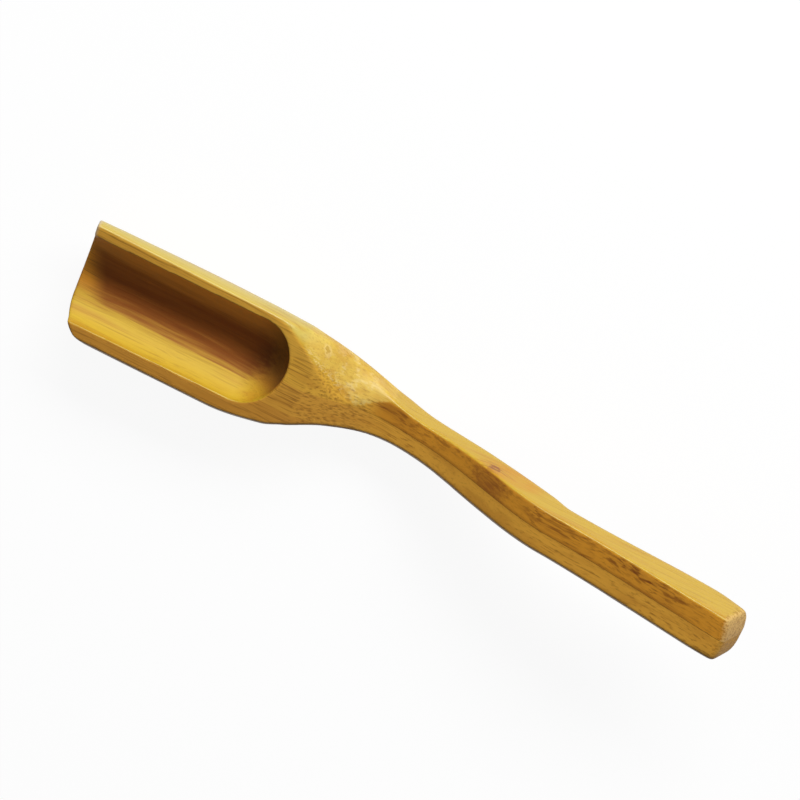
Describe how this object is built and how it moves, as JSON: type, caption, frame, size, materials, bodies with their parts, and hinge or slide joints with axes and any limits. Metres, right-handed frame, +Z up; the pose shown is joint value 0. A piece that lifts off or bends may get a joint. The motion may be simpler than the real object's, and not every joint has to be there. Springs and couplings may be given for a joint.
{
  "type": "tea scoop",
  "caption": "Bamboo tea scoop carved from a glued-up blank: a half-round bowl with a trough open at the tip, a crowned shoulder and a squarish handle that climbs in an S.",
  "frame": {"origin": "on the plane of the flat sole under the bowl, below the middle of the scoop's length and width", "axes": "+X along the scoop from the tip of the bowl towards the end of the handle, +Y across it towards the right wall, +Z up, square to the rim"},
  "size_m": [0.181, 0.03, 0.0315],
  "materials": {
    "right_wall_bamboo": "satin",
    "right_core_bamboo": "satin",
    "left_core_bamboo": "satin",
    "left_wall_bamboo": "satin",
    "glue": "satin"
  },
  "bodies": {
    "root": {"right_wall_strip": "right_wall_bamboo", "right_glue_line": "glue", "right_core_strip": "right_core_bamboo", "middle_glue_line": "glue", "left_core_strip": "left_core_bamboo", "left_glue_line": "glue", "left_wall_strip": "left_wall_bamboo"}
  },
  "joints": []
}
